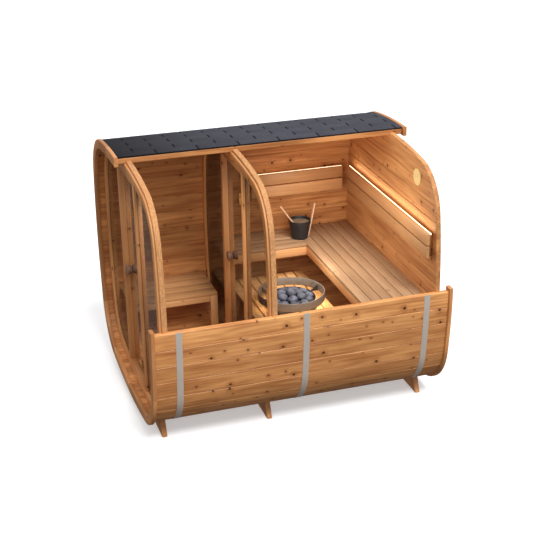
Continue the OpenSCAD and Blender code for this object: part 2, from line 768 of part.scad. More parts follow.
// Circles of stones on the bed, then stones in the hollows between them
stone_step = 2*stone_radius + seat_gap;
inner_hollow = stone_step/sqrt(3);
outer_span = 2*stone_step*cos(15) - stone_step;
outer_half = 2*stone_step*sin(15);
outer_hollow = (pow(outer_span, 2) + pow(outer_half, 2))/(2*outer_span);

module stone_circle(count, reach, turn, rise) {
    for (i = [0:count - 1]) rotate([0, 0, turn + 360*i/count]) translate([reach, 0, rise])
        sphere(r = stone_radius);
}

module heater_stones() { color("slategray")
    translate([heater_x, heater_offset, stone_bed_z + seat_gap + stone_radius]) {
        stone_circle(1, 0, 0, 0);
        stone_circle(6, stone_step, 15, 0);
        stone_circle(12, 2*stone_step, 0, 0);
        stone_circle(3, inner_hollow, 45, sqrt(pow(stone_step, 2) - pow(inner_hollow, 2)));
        stone_circle(6, stone_step + outer_hollow, 15, sqrt(pow(stone_step, 2) - pow(outer_hollow, 2)));
    }
}

module heater_guard() { color("gray") translate([heater_x, heater_offset, guard_top - guard_height])
    rotate_extrude() translate([guard_radius - guard_thickness, 0])
        square([guard_thickness, guard_height]);
}

module guard_brackets() { color("black") for (t = bracket_angles) {
    x0 = heater_top_radius + seat_gap;
    x1 = guard_radius - guard_thickness - seat_gap;
    translate([heater_x, heater_offset, 0]) rotate([90, 0, t]) translate([0, 0, -bracket_thickness/2])
        linear_extrude(bracket_thickness) polygon([[x0, heater_rim_height - bracket_tip],
            [x1, guard_top - guard_height], [x1, guard_top - guard_height/4],
            [x0, heater_rim_height]]);
} }

bucket_x = bench_front_x - bucket_before;
bucket_y = bench_back - bucket_set;
bucket_z = bench_height + seat_gap;

module bucket() { color("black") translate([bucket_x, bucket_y, bucket_z])
    rotate_extrude() polygon([[0, 0], [bucket_foot_radius, 0], [bucket_rim_radius, bucket_depth],
        [bucket_rim_radius - bucket_wall, bucket_depth], [bucket_foot_radius - bucket_wall, bucket_wall],
        [0, bucket_wall]]);
}

ladle_x = ladle_cup_share[0]*bucket_foot_radius;
ladle_y = ladle_cup_share[1]*bucket_foot_radius;
ladle_rise = bucket_depth - bucket_wall - ladle_cup_radius/2;
ladle_rim = sqrt(pow(bucket_rim_radius - bucket_wall, 2) - pow(ladle_y, 2));
ladle_lean = atan((ladle_rim - lean_width_share*ladle_radius - seat_gap + ladle_x)/ladle_rise);

module ladle() { color("wheat")
    translate([bucket_x + ladle_x, bucket_y + ladle_y, bucket_z + bucket_wall + seat_gap]) {
        cylinder(r = ladle_cup_radius, h = ladle_cup_radius);
        translate([0, 0, ladle_cup_radius/2]) rotate([0, -ladle_lean, 0])
            cylinder(r = ladle_radius, h = ladle_length - ladle_cup_radius);
    }
}

module bucket_handle() { color("wheat")
    translate([bucket_x + bucket_foot_radius, bucket_y, bucket_z]) rotate([0, handle_lean, 0])
        translate([seat_gap, -handle_width/2, handle_thickness/2])
            cube([handle_thickness, handle_width, handle_length - handle_thickness/2]);
}

near_wall();
bottom_shell();
far_wall();
roof_shell();
front_ring();
back_ring();
steel_bands();
roof_shingles();
cradles();
front_arch();
front_posts();
front_rails();
front_side_panes();
front_hinges();
front_door_glass();
front_door_clamps();
front_door_knob();
inner_arch();
inner_posts();
inner_rails();
inner_side_panes();
inner_hinges();
inner_door_glass();
inner_door_clamps();
inner_door_knob();
back_wall();
vent_cover();
changing_bench();
changing_bench_frame();
far_bench();
back_bench();
bench_frame();
far_backrest();
back_backrest();
backrest_battens();
light_strips();
foot_platform();
platform_frame();
heater_body();
heater_stones();
heater_guard();
guard_brackets();
bucket();
ladle();
bucket_handle();
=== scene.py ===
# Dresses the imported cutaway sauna: staves, boards, shingles, glass, stones and light.
import math
import random

import bmesh
import bpy
from mathutils import Matrix, Vector, noise


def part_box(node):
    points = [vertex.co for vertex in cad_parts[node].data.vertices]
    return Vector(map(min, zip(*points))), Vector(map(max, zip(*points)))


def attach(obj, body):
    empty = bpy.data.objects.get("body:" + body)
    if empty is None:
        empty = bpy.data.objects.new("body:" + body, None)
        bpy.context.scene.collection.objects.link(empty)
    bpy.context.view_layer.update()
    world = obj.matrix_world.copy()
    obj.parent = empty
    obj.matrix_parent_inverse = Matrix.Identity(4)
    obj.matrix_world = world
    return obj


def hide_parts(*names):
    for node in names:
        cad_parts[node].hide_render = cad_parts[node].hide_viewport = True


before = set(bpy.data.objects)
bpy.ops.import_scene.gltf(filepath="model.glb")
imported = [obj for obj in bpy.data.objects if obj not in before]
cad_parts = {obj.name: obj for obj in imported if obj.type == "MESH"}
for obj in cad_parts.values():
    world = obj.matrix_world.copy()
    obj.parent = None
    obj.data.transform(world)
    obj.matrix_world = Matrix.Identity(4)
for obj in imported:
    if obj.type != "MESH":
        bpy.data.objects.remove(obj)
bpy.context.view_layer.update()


def direction(turn, lift):
    """Direction towards a viewer or lamp: its turn from the near side, and its lift, in degrees"""
    turn, lift = math.radians(turn), math.radians(lift)
    return Vector((math.sin(turn)*math.cos(lift), -math.cos(turn)*math.cos(lift), math.sin(lift)))


def camera():
    """The photograph's view: place, turn, lens and framing"""
    lens = bpy.data.cameras.new("photo_camera")
    lens.sensor_fit, lens.sensor_width, lens.lens = "HORIZONTAL", 36.0, 82.11
    lens.shift_x, lens.shift_y = -0.0724, 0.0462
    lens.clip_end = 200.0
    aim, reach, back = Vector((0.4288, 0.0, 0.6838)), 10.6968, direction(-19.583, 24.479)
    view = bpy.data.objects.new("photo_camera", lens)
    view.location = aim + reach*back
    view.rotation_euler = back.to_track_quat("Z", "Y").to_euler()
    bpy.context.collection.objects.link(view)
    bpy.context.scene.camera = view


camera()


def tint(red, green, blue):
    """A colour from screen values of 0 to 255 to the renderer's own values"""
    screen = (red/255, green/255, blue/255)
    return tuple(c/12.92 if c <= 0.04045 else ((c + 0.055)/1.055)**2.4 for c in screen) + (1.0,)


class Wire:
    """A value inside a finish: Python's operators on it add Math nodes"""

    def __init__(self, finish, socket):
        self.finish, self.socket = finish, socket

    def sum(self, operation, *values):
        """A Math node on values"""
        return self.finish.add("ShaderNodeMath", {"operation": operation}, dict(enumerate(values)))

    def __add__(self, other):
        return self.sum("ADD", self, other)

    def __radd__(self, other):
        return self.sum("ADD", other, self)

    def __sub__(self, other):
        return self.sum("SUBTRACT", self, other)

    def __rsub__(self, other):
        return self.sum("SUBTRACT", other, self)

    def __mul__(self, other):
        return self.sum("MULTIPLY", self, other)

    def __rmul__(self, other):
        return self.sum("MULTIPLY", other, self)

    def __pow__(self, other):
        return self.sum("POWER", self, other)

    def __rpow__(self, other):
        return self.sum("POWER", other, self)

    def wave(self):
        """Ripples between 0 and 1"""
        return self.sum("SINE", self)*0.5 + 0.5

    def other(self, name):
        """Another output of the node that this value comes from"""
        return Wire(self.finish, self.socket.node.outputs[name])


class Finish:
    """A material, or the studio's surround, that is made node by node"""

    def __init__(self, made):
        self.made = made
        made.use_nodes = True
        self.nodes, self.links = made.node_tree.nodes, made.node_tree.links
        self.nodes.clear()

    def add(self, kind, settings=None, sockets=None, out=0):
        """Adds a node: its settings first, then the values or links of its sockets"""
        node = self.nodes.new(kind)
        for key, value in (settings or {}).items():
            setattr(node, key, value)
        for key, value in (sockets or {}).items():
            if isinstance(value, Wire):
                self.links.new(value.socket, node.inputs[key])
            else:
                node.inputs[key].default_value = value
        return Wire(self, node.outputs[out]) if node.outputs else None

    def grain(self):
        """Place in a board's own grain: along it, across it and into it"""
        return self.add("ShaderNodeAttribute", {"attribute_name": "grain"}, out="Vector")

    def tone(self):
        """A board's own tone, from 0 to 1"""
        return self.add("ShaderNodeAttribute", {"attribute_name": "tone"}, out="Fac")

    def place(self, space="Object"):
        """Place in the sauna's own frame, or a direction in the surround"""
        return self.add("ShaderNodeTexCoord", out=space)

    def part(self, vector, axis):
        """One part of a vector"""
        return self.add("ShaderNodeSeparateXYZ", sockets={0: vector}, out=axis)

    def mix(self, share, first, second, way="MIX"):
        """A blend of two colours"""
        return self.add("ShaderNodeMix", {"data_type": "RGBA", "blend_type": way},
                        {0: share, 6: first, 7: second}, 2)

    def clouds(self, place, scale, detail=2.0):
        """Soft noise between 0 and 1, stretched by a scale on each axis"""
        stretched = self.add("ShaderNodeVectorMath", {"operation": "MULTIPLY"}, {0: place, 1: scale})
        return self.add("ShaderNodeTexNoise", {}, {"Vector": stretched, "Scale": 1.0, "Detail": detail})

    def step(self, value, low, high):
        """Rises from 0 at low to 1 at high"""
        return self.add("ShaderNodeMapRange", {"interpolation_type": "SMOOTHSTEP"},
                        {0: value, 1: low, 2: high})

    def surface(self, height=None, depth=None, strength=None, **sockets):
        """Ends the finish in a Principled surface, with a bump where a height is given"""
        named = {key.replace("_", " "): value for key, value in sockets.items()}
        if height is not None:
            named["Normal"] = self.add("ShaderNodeBump", {}, {"Height": height, "Distance": depth,
                                                              "Strength": strength})
        shader = self.add("ShaderNodeBsdfPrincipled", {}, named)
        self.add("ShaderNodeOutputMaterial", {}, {"Surface": shader})
        return self.made


def finish(name):
    """A new material, still empty"""
    return Finish(bpy.data.materials.new(name))


def timber(name, pale, rich, dark, knots, tone_span, gloss=0.5, streak=0.6):
    """Heat-treated softwood: growth rings and fibres along each board, and small dark knots"""
    f = finish(name)
    grain, tone = f.grain(), f.tone()
    along = f.part(grain, "X")
    across = along.other("Y") + along.other("Z")
    flat = f.add("ShaderNodeCombineXYZ", {}, {0: along, 1: across})
    cells = f.add("ShaderNodeTexVoronoi", {"voronoi_dimensions": "2D"},
                  {"Vector": flat, "Scale": 7.4}, "Distance")
    chance = f.add("ShaderNodeSeparateColor", {}, {0: cells.other("Color")}, "Red")
    size = chance.other("Green")**2.0*0.085 + 0.040
    here = f.step(chance, 1.0 - knots, 1.01 - knots)
    knot = f.step(cells, size, size*0.5)*here
    halo = f.step(cells, size*3.6, size*0.9)*here
    drift = f.clouds(grain, (0.9, 4.5, 4.5))
    rings = (across*170.0 + drift*22.0 + halo*4.0).wave()**1.6
    fibres = f.clouds(grain, (6.0, 260.0, 260.0), 3.0)
    blotch = f.clouds(grain, (1.6, 9.0, 9.0))
    broad = f.step(f.clouds(grain, (2.2, 17.0, 17.0), 4.0) + halo*0.1, 0.34, 0.68)
    narrow = f.step(f.clouds(grain, (2.2, 80.0, 80.0), 4.0), 0.34, 0.70)
    body = f.mix((broad*0.55 + narrow*0.32 + rings*0.16)*streak, pale, rich)
    body = f.mix(tone*0.42, body, rich)
    shade = (fibres*0.34 + 0.83)*(blotch*0.30 + 0.85)*(1.0 + tone_span/2 - tone*tone_span)
    body = f.mix(1.0, body, shade, "MULTIPLY")
    body = f.mix(halo*0.18, body, rich)
    body = f.mix(knot*0.92, body, dark)
    return f.surface(narrow*0.35 + fibres*0.5 - knot*0.6, 0.0012, 0.35,
                     Base_Color=body, Roughness=fibres*0.2 + (gloss - 0.1), Specular_IOR_Level=0.35)


def sawn_timber(name, pale, rich, dark):
    """A rough sawn edge: speckled short fibres"""
    f = finish(name)
    grain = f.grain()
    flecks = f.clouds(grain, (45.0, 160.0, 160.0), 4.0)
    blotch = f.clouds(grain, (5.0, 22.0, 22.0), 3.0)
    body = f.mix(f.step(flecks, 0.38, 0.66), rich, pale)
    body = f.mix(f.step(blotch, 0.55, 0.78)*0.4, body, dark)
    return f.surface(flecks, 0.002, 0.3,
                     Base_Color=body, Roughness=flecks*0.2 + 0.65, Specular_IOR_Level=0.3)


def shingle_felt(name, dark, pale):
    """Roofing felt with stone granules, with painted shade darkening it towards the front end"""
    f = finish(name)
    grain = f.grain()
    granules = f.clouds(grain, (420.0, 420.0, 420.0), 3.0)
    cloudy = f.clouds(grain, (7.0, 7.0, 7.0), 3.0)
    # Painted shade: the felt's colour darkens towards the sauna's front end
    front_painted_shade = f.step(f.part(f.place(), "X"), -1.5, 0.1)*0.88 + 0.12
    body = f.mix(f.step(granules, 0.3, 0.72)*0.7 + cloudy*0.3, dark, pale)
    body = f.mix(1.0, body, (f.tone()*0.24 + 0.82)*front_painted_shade, "MULTIPLY")
    return f.surface(granules, 0.0015, 0.6,
                     Base_Color=body, Roughness=granules*0.2 + 0.72, Specular_IOR_Level=0.2)


def band_steel():
    """Brushed stainless strap"""
    f = finish("band_steel")
    grain = f.grain()
    brush = f.clouds(grain, (3.0, 900.0, 900.0), 3.0)
    smear = f.clouds(grain, (6.0, 14.0, 14.0), 3.0)
    body = f.mix(brush*0.6 + smear*0.4, tint(186, 174, 162), tint(226, 216, 206))
    return f.surface(brush, 0.0004, 0.2,
                     Base_Color=body, Metallic=0.30, Roughness=smear*0.16 + 0.40)


def bronze_glass(name, far_painted_shade=None):
    """Bronze tinted safety glass, a little streaked; where given, painted shade makes the tint denser
    towards the far pane
    """
    f = finish(name)
    place = f.place()
    smear = f.clouds(place, (2.0, 5.0, 1.2), 3.0)
    body = f.mix(smear, tint(38, 26, 18), tint(58, 41, 30))
    density = smear*0.10 + 0.38
    # Painted shade: the glass grows denser, so darker, towards the far side
    if far_painted_shade is not None:
        density = density + f.step(f.part(place, "Y"), 0.2, 0.6)*far_painted_shade
    return f.surface(Base_Color=body, Roughness=smear*0.05 + 0.02, Alpha=density,
                     Specular_IOR_Level=0.4)


def hinge_brass():
    """Worn brass of the hinges and clamps"""
    f = finish("hinge_brass")
    wear = f.clouds(f.place(), (60.0, 60.0, 60.0), 3.0)
    body = f.mix(f.step(wear, 0.35, 0.7), tint(176, 132, 62), tint(226, 190, 112))
    return f.surface(wear, 0.0005, 0.15, Base_Color=body, Metallic=0.85, Roughness=wear*0.25 + 0.22)


def light_strip():
    """Frosted strip that glows warm, a little brighter over each diode"""
    f = finish("light_strip")
    along = f.part(f.place(), "X")
    diodes = ((along + along.other("Y"))*180.0).wave()
    glow = f.mix(diodes, (1.0, 0.74, 0.42, 1.0), (1.0, 0.86, 0.60, 1.0))
    return f.surface(Base_Color=tint(250, 236, 205), Roughness=0.5, Emission_Color=glow,
                     Emission_Strength=2.0)


def heater_steel(name, low, high, rough):
    """Dark painted steel with heat marks"""
    f = finish(name)
    place = f.place()
    marks = f.clouds(place, (9.0, 9.0, 16.0), 4.0)
    fine = f.clouds(place, (380.0, 380.0, 380.0))
    body = f.mix(marks, low, high)
    return f.surface(fine, 0.0006, 0.25, Base_Color=body, Metallic=0.25, Roughness=marks*0.2 + rough)


def sauna_stone():
    """Split and tumbled heater stone, blue grey with pale specks"""
    f = finish("sauna_stone")
    grain = f.grain()
    veins = f.clouds(grain, (26.0, 26.0, 26.0), 5.0)
    specks = f.clouds(grain, (240.0, 240.0, 240.0), 3.0)
    body = f.mix(f.step(veins, 0.3, 0.7), tint(66, 68, 77), tint(99, 101, 113))
    body = f.mix(f.step(specks, 0.62, 0.75)*0.4, body, tint(140, 141, 150))
    # Painted light: the tone scales the colour, and the heap raises it on each stone's top, so tops are
    # paler
    body = f.mix(1.0, body, f.tone() + 0.45, "MULTIPLY")
    return f.surface(veins*0.7 + specks*0.3, 0.003, 0.35,
                     Base_Color=body, Roughness=specks*0.2 + 0.6, Specular_IOR_Level=0.35)


def guard_weave():
    """Greige guard ring with a fine woven face"""
    f = finish("guard_weave")
    grain = f.grain()
    along = f.part(grain, "X")
    weave = (along*900.0).wave()*(along.other("Y")*900.0).wave()
    smear = f.clouds(grain, (14.0, 30.0, 30.0), 3.0)
    body = f.mix(weave*0.5 + smear*0.5, tint(104, 95, 85), tint(178, 163, 146))
    return f.surface(weave, 0.0012, 0.4, Base_Color=body, Metallic=0.15, Roughness=smear*0.2 + 0.45)


def bucket_paint():
    """Black paint of the bucket, a little smeared"""
    f = finish("bucket_paint")
    place = f.place()
    fine = f.clouds(place, (300.0, 300.0, 300.0))
    smear = f.clouds(place, (12.0, 12.0, 5.0), 3.0)
    body = f.mix(smear, tint(26, 25, 27), tint(44, 42, 44))
    return f.surface(fine, 0.0005, 0.2, Base_Color=body, Roughness=smear*0.2 + 0.42)


def bucket_water():
    """Still water, its brown base colour a painted reflection of the room's wood"""
    f = finish("bucket_water")
    ripple = f.clouds(f.place(), (16.0, 16.0, 16.0))
    # Painted reflection: the room's brown wood is put into the water's base colour
    body = f.mix(ripple, tint(112, 100, 84), tint(146, 131, 110))
    return f.surface(ripple, 0.004, 0.3, Base_Color=body, Roughness=0.08, Specular_IOR_Level=0.6)


knot_brown, knot_soft = tint(50, 26, 16), tint(128, 84, 54)
STAVE = timber("stave_wood", tint(244, 179, 113), tint(156, 87, 41), knot_brown,
               knots=0.55, tone_span=0.22, streak=0.85)
WALL = timber("back_wall_wood", tint(236, 174, 112), tint(162, 96, 49), knot_brown,
              knots=0.45, tone_span=0.22, streak=0.85)
RING = timber("ring_wood", tint(222, 158, 101), tint(170, 108, 60), knot_brown,
              knots=0.22, tone_span=0.24, streak=0.8)
FRAME = timber("frame_wood", tint(238, 173, 111), tint(188, 120, 66), knot_brown,
               knots=0.24, tone_span=0.20, streak=0.7)
POST = timber("post_wood", tint(230, 164, 105), tint(180, 115, 65), knot_brown,
              knots=0.24, tone_span=0.20, streak=0.7)
BENCH = timber("bench_wood", tint(192, 156, 120), tint(150, 113, 80), knot_soft,
               knots=0.10, tone_span=0.16, gloss=0.46)
RAIL = timber("rail_wood", tint(226, 172, 118), tint(184, 130, 82), knot_soft,
              knots=0.10, tone_span=0.16, gloss=0.46)
STOOL = timber("stool_wood", tint(210, 158, 107), tint(170, 118, 73), knot_soft,
               knots=0.10, tone_span=0.16, gloss=0.46)
SLAT = timber("slat_wood", tint(252, 196, 128), tint(226, 162, 100), tint(140, 92, 60),
              knots=0.10, tone_span=0.16, gloss=0.46)
UNDER = timber("under_frame_wood", tint(180, 122, 74), tint(140, 86, 48), knot_brown,
               knots=0.25, tone_span=0.20)
PALE = timber("pale_wood", tint(244, 214, 150), tint(232, 192, 120), tint(190, 140, 84),
              knots=0.0, tone_span=0.12, streak=0.4)
STICK = timber("handle_wood", tint(226, 186, 152), tint(202, 156, 122), tint(150, 100, 70),
               knots=0.0, tone_span=0.14, streak=0.4)
KNOB = timber("knob_wood", tint(160, 120, 98), tint(116, 80, 62), tint(60, 34, 22),
              knots=0.0, tone_span=0.20, gloss=0.4, streak=0.7)
SAWN = sawn_timber("sawn_edge", tint(224, 166, 112), tint(194, 136, 86), tint(146, 96, 60))
FELT = shingle_felt("shingle_felt", tint(40, 40, 48), tint(90, 90, 101))
SLIT = shingle_felt("shingle_underlay", tint(14, 14, 17), tint(26, 26, 30))
BAND, BRASS, LIGHT = band_steel(), hinge_brass(), light_strip()
# The partition's panes get painted shade: a denser, darker tint towards the far side
GLASS, PARTITION_GLASS = bronze_glass("bronze_glass"), bronze_glass("partition_glass", 0.36)
CASING = heater_steel("heater_casing", tint(42, 44, 50), tint(66, 68, 76), 0.45)
BRACKET = heater_steel("guard_bracket", tint(40, 40, 44), tint(64, 64, 70), 0.5)
STONE, GUARD, BUCKET, WATER = sauna_stone(), guard_weave(), bucket_paint(), bucket_water()

# The shell's section: sides and top of large radius, joined by corner arcs. The near wall ends at a
# height above the shell's bottom, and the end rings run on past each cut by a stub.
half_w, half_h, mid_z = 1.015, 1.0, 1.083
corner_r, bulge, stave_thick, near_height = 0.427, 0.040, 0.045, 0.957
ring_proud, ring_deep, ring_stub = 0.020, 0.076, 0.030
corner_y, corner_z = half_w - bulge - corner_r, half_h - bulge - corner_r
side_r = (corner_r**2 - (corner_y - half_w)**2 - corner_z**2)/(2*(corner_y - half_w + corner_r))
top_r = (corner_r**2 - (corner_z - half_h)**2 - corner_y**2)/(2*(corner_z - half_h + corner_r))
side_turn = math.degrees(math.asin(corner_z/(side_r - corner_r)))
top_turn = math.degrees(math.asin(corner_y/(top_r - corner_r)))
cut_turn = 180 + math.degrees(math.asin((half_h - near_height)/side_r))
stub_turn = 180 + math.degrees(math.asin((half_h - near_height - ring_stub)/side_r))
roof_stub = 90 + math.degrees(math.asin(ring_stub/top_r))

# Arcs of the section, each with its centre, radius, first turn and last turn
far_side = (half_w - side_r, 0.0, side_r, -side_turn, side_turn)
far_top = (corner_y, corner_z, corner_r, side_turn, 90 - top_turn)
top_far = (0.0, half_h - top_r, top_r, 90 - top_turn, 90)
top_near = (0.0, half_h - top_r, top_r, 90, 90 + top_turn)
near_top = (-corner_y, corner_z, corner_r, 90 + top_turn, 180 - side_turn)
near_side = (side_r - half_w, 0.0, side_r, 180 - side_turn, 180 + side_turn)
near_bottom = (-corner_y, -corner_z, corner_r, 180 + side_turn, 270 - top_turn)
bottom = (0.0, top_r - half_h, top_r, 270 - top_turn, 270 + top_turn)
far_bottom = (corner_y, -corner_z, corner_r, 270 + top_turn, 360 - side_turn)
near_left = near_side[:3] + (cut_turn, 180 + side_turn)

ring_x, shell_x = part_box("back_ring")[1][0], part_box("near_wall")[1][0]
front_x, inner_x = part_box("front_arch")[0][0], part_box("inner_arch")[0][0]
back_x, back_rear_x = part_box("back_wall")[0][0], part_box("back_wall")[1][0]
heater_x, heater_y = 0.230, 0.050
seat_gap, joint_gap, eased = 0.0003, 0.0002, 0.004


def spot(arc, turn, inset=0.0):
    """Place in the section on an arc: distance from the middle plane, and height"""
    a = math.radians(turn)
    reach = arc[2] - inset
    return arc[0] + reach*math.cos(a), mid_z + arc[1] + reach*math.sin(a)


def half_width(rise, inset):
    """Half the width inside the section at a rise from its middle"""
    rise = abs(rise)
    if rise <= corner_z + (corner_r - inset)*math.sin(math.radians(side_turn)):
        return half_w - side_r + math.sqrt((side_r - inset)**2 - rise**2)
    if rise <= corner_z + (corner_r - inset)*math.cos(math.radians(top_turn)):
        return corner_y + math.sqrt((corner_r - inset)**2 - (rise - corner_z)**2)
    return math.sqrt(max(0.0, (top_r - inset)**2 - (rise - half_h + top_r)**2))


def eased_corners(a0, a1, b0, b1, edge):
    """A rectangle with its corners rounded off"""
    points = []
    for a, b, turn in ((a1 - edge, b1 - edge, 0), (a0 + edge, b1 - edge, 90),
                       (a0 + edge, b0 + edge, 180), (a1 - edge, b0 + edge, 270)):
        for i in range(3):
            t = math.radians(turn + 45*i)
            points.append((a + edge*math.cos(t), b + edge*math.sin(t)))
    return points


def leaned(place, turn):
    """A place whose own Z leans towards X by a turn"""
    return Matrix.Translation(place) @ Matrix.Rotation(turn, 4, "Y")


class Stock:
    """Gathers the boards of one piece, each with the place of its grain and a tone"""

    def __init__(self, seed):
        self.luck = random.Random(seed)
        self.points, self.faces, self.grain, self.tone, self.coats = [], [], [], [], []

    def loft(self, rings, places, tone=None, coat=0, matrix=None, joined=False):
        """Skins rings of equally many points; joined makes the last ring meet the first"""
        first, count = len(self.points), len(rings[0])
        along, across = self.luck.uniform(0, 40), self.luck.uniform(0, 40)
        tone = self.luck.random() if tone is None else tone
        for ring, place in zip(rings, places):
            for point, (s, t, d) in zip(ring, place):
                point = Vector(point)
                self.points.append(matrix @ point if matrix else point)
                self.grain.append((s + along, t + across, d))
                self.tone.append(tone)
        for i in range(len(rings) if joined else len(rings) - 1):
            a, b = first + i*count, first + (i + 1) % len(rings)*count
            for j in range(count):
                k = (j + 1) % count
                self.faces.append((a + j, a + k, b + k, b + j))
                self.coats.append(coat)
        if not joined:
            last = first + (len(rings) - 1)*count
            self.faces += [tuple(range(first, first + count)), tuple(range(last, last + count))]
            self.coats += [coat, coat]

    def plank(self, low, high, edge=eased, tone=None, matrix=None):
        """A board with eased edges between two corners, its grain along its longest side"""
        run = max(range(3), key=lambda i: high[i] - low[i])
        a, b = [i for i in range(3) if i != run]
        if high[a] - low[a] < high[b] - low[b]:
            a, b = b, a
        edge = min(edge, 0.3*(high[b] - low[b]))
        end = 0.7*edge
        rings, places = [], []
        for at, pull in ((low[run], end), (low[run] + edge, 0.0), (high[run] - edge, 0.0),
                         (high[run], end)):
            section = eased_corners(low[a] + pull, high[a] - pull, low[b] + pull, high[b] - pull, edge)
            ring, place = [], []
            for u, v in section:
                point = [0.0, 0.0, 0.0]
                point[run], point[a], point[b] = at, u, v
                ring.append(point)
                place.append((at, u, v))
            rings.append(ring)
            places.append(place)
        self.loft(rings, places, tone, matrix=matrix)

    def slab(self, outline, axis, low, high, run=0):
        """A board cut to an outline, its thickness along an axis and its faces' edges eased

        The grain runs along the first or the second direction of the outline.
        """
        corners = [Vector(p) for p in outline]
        area = sum(p[0]*q[1] - q[0]*p[1] for p, q in zip(outline, outline[1:] + outline[:1]))
        side = 1.0 if area > 0 else -1.0
        pulled = []
        for i, p in enumerate(corners):
            before, after = p - corners[i - 1], corners[(i + 1) % len(corners)] - p
            lean = Vector((-before.y, before.x)).normalized()
            lean += Vector((-after.y, after.x)).normalized()
            pulled.append(p + side*2*eased*lean/max(1.2, lean.length_squared))
        a, b = [i for i in range(3) if i != axis]
        rings, places = [], []
        for at, shape in ((low, pulled), (low + eased, outline), (high - eased, outline),
                          (high, pulled)):
            ring, place = [], []
            for u, v in shape:
                point = [0.0, 0.0, 0.0]
                point[axis], point[a], point[b] = at, u, v
                ring.append(point)
                place.append((u, v, at) if run == 0 else (v, u, at))
            rings.append(ring)
            places.append(place)
        self.loft(rings, places)

    def stave(self, arc, first, last):
        """One stave as long as the shell, curved to the section, with its long edges eased"""
        r, edge, bends, ends = arc[2], 0.0045, 5, (-shell_x, shell_x)
        gap, turn = math.degrees(seat_gap/r), math.degrees(edge/r)
        first, last = first + gap, last - gap
        runs = [first + turn + (last - first - 2*turn)*i/bends for i in range(bends + 1)]
        section = [(first, edge)] + [(t, 0.0) for t in runs]
        section += [(last, edge), (last, stave_thick - edge)]
        section += [(t, stave_thick) for t in reversed(runs)] + [(first, stave_thick - edge)]
        rings = [[(x, *spot(arc, t, inset)) for t, inset in section] for x in ends]
        places = [[(x, math.radians(t)*r, inset) for t, inset in section] for x in ends]
        self.loft(rings, places)

    def staves(self, arc, count):
        """Staves of equal width along one arc"""
        span = arc[4] - arc[3]
        for i in range(count):
            self.stave(arc, arc[3] + span*i/count, arc[3] + span*(i + 1)/count)

    def hoop(self, arcs, inset, deep, x0, x1, edge=eased, coat=0, tone=None):
        """A bar bent along arcs that follow each other: from an inset, so deep towards the middle"""
        section = eased_corners(inset, inset + deep, x0, x1, edge)
        rings, places, run = [], [], 0.0
        for n, (y, z, r, first, last) in enumerate(arcs):
            gap = math.degrees(joint_gap/r)
            first += gap if n == 0 else 0.0
            last -= gap if n == len(arcs) - 1 else 0.0
            steps = max(3, round(abs(last - first)*(0.25 if r < 1 else 1.0)))
            for i in range(0 if n == 0 else 1, steps + 1):
                t = first + (last - first)*i/steps
                here = run + math.radians(abs(t - first))*r
                rings.append([(x, *spot((y, z, r), t, into)) for into, x in section])
                places.append([(here, x, into) for into, x in section])
            run += math.radians(abs(last - first))*r
        self.loft(rings, places, tone, coat)

    def hoops(self, arc, pieces, inset, deep, x0, x1):
        """A bar along one arc, joined from pieces"""
        span = (arc[4] - arc[3])/pieces
        for i in range(pieces):
            bow = arc[:3] + (arc[3] + span*i, arc[3] + span*(i + 1))
            self.hoop([bow], inset, deep, x0, x1)

    def turned(self, profile, matrix, steps, tone, ring=False):
        """A piece turned on a lathe about its own Z, from radius and height; ring leaves a hole"""
        tip, wrap = 0.0002, 0.28
        turns = [2*math.pi*i/steps for i in range(steps)]
        rings, places = [], []
        for r, h in profile:
            r = max(r, tip)
            rings.append([(r*math.cos(t), r*math.sin(t), h) for t in turns])
            places.append([(wrap*math.cos(t), h + r, wrap*math.sin(t)) for t in turns])
        self.loft(rings, places, tone, matrix=matrix, joined=ring)

    def piece(self, name, coats, slot, body, *nodes):
        """Makes the piece, puts it on its body and lets it stand for CAD nodes"""
        mesh = bpy.data.meshes.new(name)
        mesh.from_pydata([tuple(p) for p in self.points], [], self.faces)
        mesh.attributes.new("grain", "FLOAT_VECTOR", "POINT").data.foreach_set(
            "vector", [c for g in self.grain for c in g])
        mesh.attributes.new("tone", "FLOAT", "POINT").data.foreach_set("value", self.tone)
        for coat in coats:
            mesh.materials.append(coat)
        mesh.polygons.foreach_set("material_index", self.coats)
        work = bmesh.new()
        work.from_mesh(mesh)
        bmesh.ops.recalc_face_normals(work, faces=work.faces)
        work.to_mesh(mesh)
        work.free()
        mesh.polygons.foreach_set("use_smooth", [True]*len(mesh.polygons))
        mesh.set_sharp_from_angle(angle=math.radians(38))
        made = bpy.data.objects.new(name, mesh)
        bpy.context.collection.objects.link(made)
        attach(made, body)
        if nodes:
            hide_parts(*nodes)


def sticks(node):
    """Corners of each separate straight board in a CAD node"""
    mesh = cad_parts[node].data
    keys = [tuple(round(c, 5) for c in v.co) for v in mesh.vertices]
    above = {k: k for k in keys}

    def root(k):
        while above[k] != k:
            above[k] = above[above[k]]
            k = above[k]
        return k

    for face in mesh.polygons:
        ends = [root(keys[i]) for i in face.vertices]
        for k in ends[1:]:
            above[root(k)] = root(ends[0])
    groups = {}
    for k in above:
        groups.setdefault(root(k), []).append(k)
    return sorted((tuple(map(min, zip(*group))), tuple(map(max, zip(*group))))
                  for group in groups.values())


def boards(name, coat, slot, seed, node, edge=eased):
    """A piece of straight eased boards, one for each board of a CAD node"""
    stock = Stock(seed)
    for low, high in sticks(node):
        stock.plank(low, high, edge)
    stock.piece(name, [coat], slot, "sauna", node)


